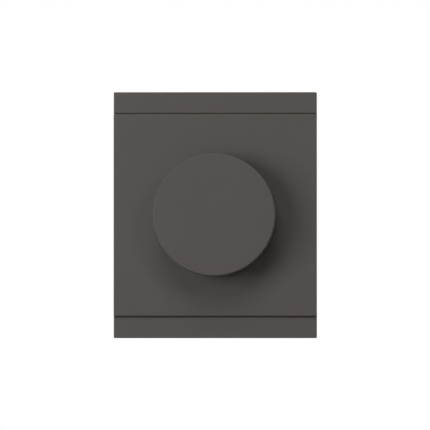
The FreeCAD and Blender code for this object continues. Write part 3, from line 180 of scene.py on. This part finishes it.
def plastic(name, base, roughness=0.5, grain=0.25 * MM, depth=4 * MICRON, wear_and_highlight=0.04, specular=0.5):
    """Moulded plastic: fine spark-eroded grain, a slow drift of colour, and edges painted lighter, partly
    wear and partly a painted highlight on the rounded edges.
    """
    drift_size, drift_change = 14 * MM, 0.02
    edge_radius = 0.3 * MM
    gloss_change = 0.05
    surface = Surface(name)
    drift = surface.noise(drift_size)
    body = surface.blend(surface.spread(drift, 0, 1), *tints(base, drift_change))
    soft_normal, edge = surface.edges(edge_radius)
    # Lighter colour at the edges: partly wear, partly a painted highlight where rounded edges would catch
    # the light
    edge_wear_and_highlight = tints(base, wear_and_highlight)[1]
    surface.paint(surface.blend(edge, body, edge_wear_and_highlight))
    fine = surface.noise(grain, detail=3, roughness=0.6)
    surface.roughen(fine, roughness - gloss_change, roughness + gloss_change)
    surface.set("Specular IOR Level", specular)
    surface.bump(fine, depth, soft_normal)
    return surface.material


def metal(name, base, roughness=0.3, grain=0.2 * MM, stretch=(1, 1, 1)):
    """Bare or plated metal: tool marks along one direction, faint stains and brighter edges."""
    stain_size, stain_change = 4 * MM, 0.04
    edge_radius, edge_change = 0.15 * MM, 0.2
    gloss_change = 0.04
    mark_depth = 0.6 * MICRON
    surface = Surface(name)
    patches = surface.noise(stain_size, detail=3)
    body = surface.blend(surface.spread(patches, 0, 1), *tints(base, stain_change))
    soft_normal, edge = surface.edges(edge_radius)
    surface.paint(surface.blend(edge, body, tints(base, edge_change)[1]))
    marks = surface.noise(grain, detail=3, roughness=0.6, stretch=stretch)
    surface.roughen(marks, roughness - gloss_change, roughness + gloss_change)
    surface.set("Metallic", 1.0)
    surface.bump(marks, mark_depth, soft_normal)
    return surface.material


def glass(name):
    """Clear glass with faint drawing lines."""
    surface = Surface(name)
    lines = surface.noise(size=0.6 * MM, stretch=(6, 1, 1))
    surface.set("Base Color", (0.93, 0.96, 0.96, 1))
    surface.roughen(lines, low=0.02, high=0.08)
    surface.set("Transmission Weight", 1.0)
    surface.set("IOR", 1.5)
    surface.bump(lines, depth=1 * MICRON)
    return surface.material


def laminate(name, base, weave=0.4 * MM):
    """Board of woven glass cloth in resin: a faint square weave under a glossy coat."""
    surface = Surface(name)
    cloth = surface.add("ShaderNodeMath", operation="MULTIPLY")
    for axis, socket in zip(("X", "Z"), cloth.inputs):
        wave = surface.add("ShaderNodeTexWave", bands_direction=axis)
        wave.inputs["Scale"].default_value = WAVE_SCALE / weave
        wave.inputs["Distortion"].default_value = 0.6
        surface.link(surface.place, wave.inputs["Vector"])
        surface.link(wave.outputs["Fac"], socket)
    surface.paint(surface.blend(cloth.outputs[0], *tints(base, change=0.12)))
    surface.roughen(surface.noise(size=3 * MM), low=0.22, high=0.34)
    surface.set("Coat Weight", 0.3)
    surface.bump(cloth.outputs[0], depth=4 * MICRON)
    return surface.material


def winding(name, base):
    """Enamelled copper: long streaks round the coil under a clear enamel."""
    surface = Surface(name)
    streaks = surface.noise(size=0.3 * MM, stretch=(8, 1, 8))
    surface.paint(surface.blend(surface.spread(streaks, 0, 1), *tints(base, change=0.15)))
    surface.roughen(streaks, low=0.18, high=0.32)
    surface.set("Metallic", 1.0)
    surface.set("Coat Weight", 0.6)
    surface.bump(streaks, depth=4 * MICRON)
    return surface.material


COAL = (0.0935, 0.0812, 0.0728, 1)
MATERIALS = {
    # coal_plastic: its lighter edges are partly wear and partly a painted highlight
    "coal_plastic": lambda name: plastic(name, COAL, roughness=0.42, grain=0.22 * MM, wear_and_highlight=0.06,
                                         specular=0.40),
    "frame_plastic": lambda name: plastic(name, (0.30, 0.30, 0.29, 1), roughness=0.52, grain=0.3 * MM),
    "case_plastic": lambda name: plastic(name, (0.035, 0.035, 0.036, 1), roughness=0.48, grain=0.3 * MM,
                                         depth=5 * MICRON, wear_and_highlight=0.15),
    "switch_plastic": lambda name: plastic(name, (0.05, 0.05, 0.05, 1), roughness=0.42),
    "white_plastic": lambda name: plastic(name, (0.75, 0.75, 0.72, 1), roughness=0.3, grain=0.3 * MM,
                                          depth=2 * MICRON),
    "chip_plastic": lambda name: plastic(name, (0.02, 0.02, 0.02, 1), grain=0.1 * MM,
                                         depth=6 * MICRON, wear_and_highlight=0.1),
    "trimmer_plastic": lambda name: plastic(name, (0.03, 0.12, 0.40, 1), roughness=0.3),
    "film_plastic": lambda name: plastic(name, (0.60, 0.42, 0.05, 1), roughness=0.28),
    "can_sleeve": lambda name: plastic(name, (0.03, 0.04, 0.08, 1), roughness=0.25, grain=0.5 * MM,
                                       depth=2 * MICRON),
    "ferrite": lambda name: plastic(name, (0.06, 0.06, 0.065, 1), roughness=0.6, grain=0.15 * MM,
                                    depth=12 * MICRON, wear_and_highlight=0.25),
    "pad_rubber": lambda name: plastic(name, (0.35, 0.37, 0.38, 1), roughness=0.75, grain=0.2 * MM,
                                       depth=6 * MICRON),
    "support_aluminium": lambda name: metal(name, (0.62, 0.63, 0.64, 1), roughness=0.34, grain=0.12 * MM,
                                            stretch=(30, 1, 1)),
    "zinc_steel": lambda name: metal(name, (0.60, 0.61, 0.61, 1), roughness=0.38, grain=0.3 * MM),
    "spring_steel": lambda name: metal(name, (0.42, 0.42, 0.41, 1), roughness=0.26, grain=0.1 * MM,
                                       stretch=(8, 1, 1)),
    "spindle_steel": lambda name: metal(name, (0.60, 0.60, 0.59, 1), roughness=0.22, grain=0.08 * MM,
                                        stretch=(1, 0.2, 1)),
    "bushing_metal": lambda name: metal(name, (0.62, 0.50, 0.28, 1), roughness=0.25, grain=0.08 * MM,
                                        stretch=(1, 0.2, 1)),
    "contact_brass": lambda name: metal(name, (0.70, 0.52, 0.24, 1), roughness=0.28, grain=0.15 * MM,
                                        stretch=(1, 1, 8)),
    "fuse_metal": lambda name: metal(name, (0.70, 0.70, 0.70, 1), roughness=0.16, grain=0.4 * MM),
    "rivet_aluminium": lambda name: metal(name, (0.60, 0.60, 0.60, 1), roughness=0.32),
    "track_laminate": lambda name: laminate(name, (0.25, 0.13, 0.05, 1)),
    "board_laminate": lambda name: laminate(name, (0.03, 0.14, 0.05, 1)),
    "copper_wire": lambda name: winding(name, (0.60, 0.25, 0.10, 1)),
    "fuse_glass": glass,
}

# The finish of every piece follows the slot that the record gives it
finishes = {slot: make(slot) for slot, make in MATERIALS.items()}
for part in frame["record"]["subparts"]:
    node = frame["nodes"][part["node"]]
    node.data.materials.clear()
    node.data.materials.append(finishes[part["material_slot"]])


# Return spring: a coil whose end turns lie closed
SPRING_WIRE = 0.45 * MM
SPRING_TURNS = 4.5
CLOSED_TURNS = 0.75
CLOSED_PITCH = 1.04 * SPRING_WIRE
STEPS_PER_TURN = 28
WIRE_RESOLUTION = 3


def coil_path(radius, start, height):
    """Points of a coil about the knob's axis, from its free end to its fixed end."""
    open_turns = SPRING_TURNS - 2 * CLOSED_TURNS
    open_pitch = (height - 2 * CLOSED_TURNS * CLOSED_PITCH) / open_turns
    points = []
    for step in range(int(SPRING_TURNS * STEPS_PER_TURN) + 1):
        turn = step / STEPS_PER_TURN
        middle_turns = min(max(turn - CLOSED_TURNS, 0), open_turns)
        along = start + (turn - middle_turns) * CLOSED_PITCH + middle_turns * open_pitch
        angle = 2 * math.pi * turn
        points.append((radius * math.cos(angle), along, radius * math.sin(angle)))
    return points


def wire_piece(name, points, thickness):
    """A round wire along these points, as a mesh."""
    curve = bpy.data.curves.new(name + "_path", "CURVE")
    curve.dimensions = "3D"
    curve.bevel_depth = thickness / 2
    curve.bevel_resolution = WIRE_RESOLUTION
    curve.use_fill_caps = True
    spline = curve.splines.new("POLY")
    spline.points.add(len(points) - 1)
    for point, place in zip(spline.points, points):
        point.co = (*place, 1)
    path = bpy.data.objects.new(name + "_path", curve)
    mesh = bpy.data.meshes.new_from_object(path)
    bpy.data.objects.remove(path)
    mesh.polygons.foreach_set("use_smooth", [True] * len(mesh.polygons))
    return new_object(name, mesh)


spring_low, spring_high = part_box("return_spring")
spring_length = spring_high.y - spring_low.y
spring_points = coil_path(radius=spring_high.x - SPRING_WIRE / 2, start=spring_low.y + SPRING_WIRE / 2,
                          height=spring_length - SPRING_WIRE)
spring = wire_piece("return_coil", spring_points, SPRING_WIRE)
spring.data.materials.append(finishes["spring_steel"])
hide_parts("return_spring")
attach(spring, "fixed")
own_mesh(spring)


# Stage: a pale floor that keeps the object's shadow and hardly lights the object from below
FLOOR_SIZE = 4.0
FLOOR_LEVEL = -75 * MM


def floor_material(name, seen, bounced, glow):
    """A matt grey that is pale to the eye, with a glow there too, and darker to diffuse light."""
    surface = Surface(name)
    paths = surface.add("ShaderNodeLightPath")
    surface.paint(surface.blend(paths.outputs["Is Diffuse Ray"], (seen, seen, seen, 1),
                                (bounced, bounced, bounced, 1)))
    surface.set("Roughness", 0.9)
    surface.set("Emission Color", (glow, glow, glow, 1))
    surface.link(paths.outputs["Is Camera Ray"], surface.shader.inputs["Emission Strength"])
    return surface.material


bpy.ops.mesh.primitive_plane_add(size=FLOOR_SIZE, location=(0, 0, FLOOR_LEVEL))
floor = bpy.context.object
floor.name = "floor"
floor.data.materials.append(floor_material("floor_white", seen=0.85, bounced=0.06, glow=0.40))

# World: plain white to the camera and behind the object, and dim in front of it, where the lamps take over
FRONT_LIGHT = 0.02
BACK_LIGHT = 0.95
# The y of a direction at which the back light starts, and at which it is full
BACK_STARTS = -0.05
BACK_FULL = 0.25
world = bpy.data.worlds.new("studio")
bpy.context.scene.world = world
world.use_nodes = True
world_tree = world.node_tree


def combine(operation, first, second):
    """A sum, product or larger value of two of the world's nodes or numbers."""
    node = new_node(world_tree, "ShaderNodeMath", operation=operation)
    for socket, side in zip(node.inputs, (first, second)):
        if isinstance(side, float):
            socket.default_value = side
        else:
            world_tree.links.new(side, socket)
    return node.outputs[0]


direction = new_node(world_tree, "ShaderNodeSeparateXYZ")
world_tree.links.new(new_node(world_tree, "ShaderNodeTexCoord").outputs["Generated"], direction.inputs[0])
back_ramp = new_node(world_tree, "ShaderNodeMapRange")
back_ramp.inputs["From Min"].default_value = BACK_STARTS
back_ramp.inputs["From Max"].default_value = BACK_FULL
world_tree.links.new(direction.outputs["Y"], back_ramp.inputs["Value"])
behind = back_ramp.outputs["Result"]
paths = new_node(world_tree, "ShaderNodeLightPath")
direct = combine("MAXIMUM", paths.outputs["Is Camera Ray"], paths.outputs["Is Transmission Ray"])
mirrored = combine("MULTIPLY", paths.outputs["Is Glossy Ray"], behind)
white = combine("MAXIMUM", direct, mirrored)
light = combine("ADD", combine("MULTIPLY", behind, BACK_LIGHT - FRONT_LIGHT), FRONT_LIGHT)
background = world_tree.nodes["Background"]
background.inputs["Color"].default_value = (1, 1, 1, 1)
world_tree.links.new(combine("MAXIMUM", light, white), background.inputs["Strength"])

# Lamps: their directions and sizes are those of the soft shadow round the knob in the photograph
LAMP_DISTANCE = 1.0


def soft_lamp(name, tilt, bearing, radius, share):
    """A round lamp that gives the knob this share of the light that shows a colour as it is written.

    Its tilt is the angle from the viewer's line, and its bearing is counted from the right towards the
    top, both in degrees.
    """
    tilt, bearing = math.radians(tilt), math.radians(bearing)
    data = bpy.data.lights.new(name, "AREA")
    data.shape = "DISK"
    data.size = 2 * radius
    data.energy = math.pi ** 2 * LAMP_DISTANCE ** 2 * share / math.cos(tilt)
    lamp = new_object(name, data)
    aside = math.sin(tilt)
    spot = Vector((aside * math.cos(bearing), -math.cos(tilt), aside * math.sin(bearing))) * LAMP_DISTANCE
    lamp.location = spot
    lamp.rotation_euler = (-spot).to_track_quat("-Z", "Y").to_euler()


soft_lamp("left_lamp", tilt=30, bearing=180, radius=0.29, share=0.487)
soft_lamp("top_lamp", tilt=33, bearing=95, radius=0.25, share=0.236)
soft_lamp("right_lamp", tilt=25, bearing=37, radius=0.07, share=0.052)

# Camera: looks at the middle of the plate's front, at the photograph's framing. It stands a little to the
# right and low, because the knob covers more of the plate on its left and top.
CAMERA_DISTANCE = 3.0
CAMERA_RIGHT = 66 * MM
CAMERA_DOWN = 40 * MM
CAMERA_REACH = 20.0
# In millimetres, as Blender has the sensor and the lens
SENSOR = 36.0
plate_low, plate_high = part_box("design_frame")
view_width = (plate_high.x - plate_low.x) * PHOTO_SIZE / PLATE_WIDTH_PIXELS
aim = Vector((0, plate_low.y, 0))
camera_place = Vector((CAMERA_RIGHT, -CAMERA_DISTANCE, -CAMERA_DOWN))
camera_data = bpy.data.cameras.new("camera")
camera_data.sensor_width = SENSOR
camera_data.lens = SENSOR * (aim - camera_place).length / view_width
camera_data.clip_end = CAMERA_REACH
middle = PHOTO_SIZE / 2
camera_data.shift_x = (middle - PLATE_MIDDLE[0]) / PHOTO_SIZE
camera_data.shift_y = (PLATE_MIDDLE[1] - middle) / PHOTO_SIZE
camera = new_object("camera", camera_data)
camera.location = camera_place
camera.rotation_euler = (aim - camera_place).to_track_quat("-Z", "Y").to_euler()
bpy.context.scene.camera = camera
bpy.context.scene.view_settings.view_transform = "Standard"
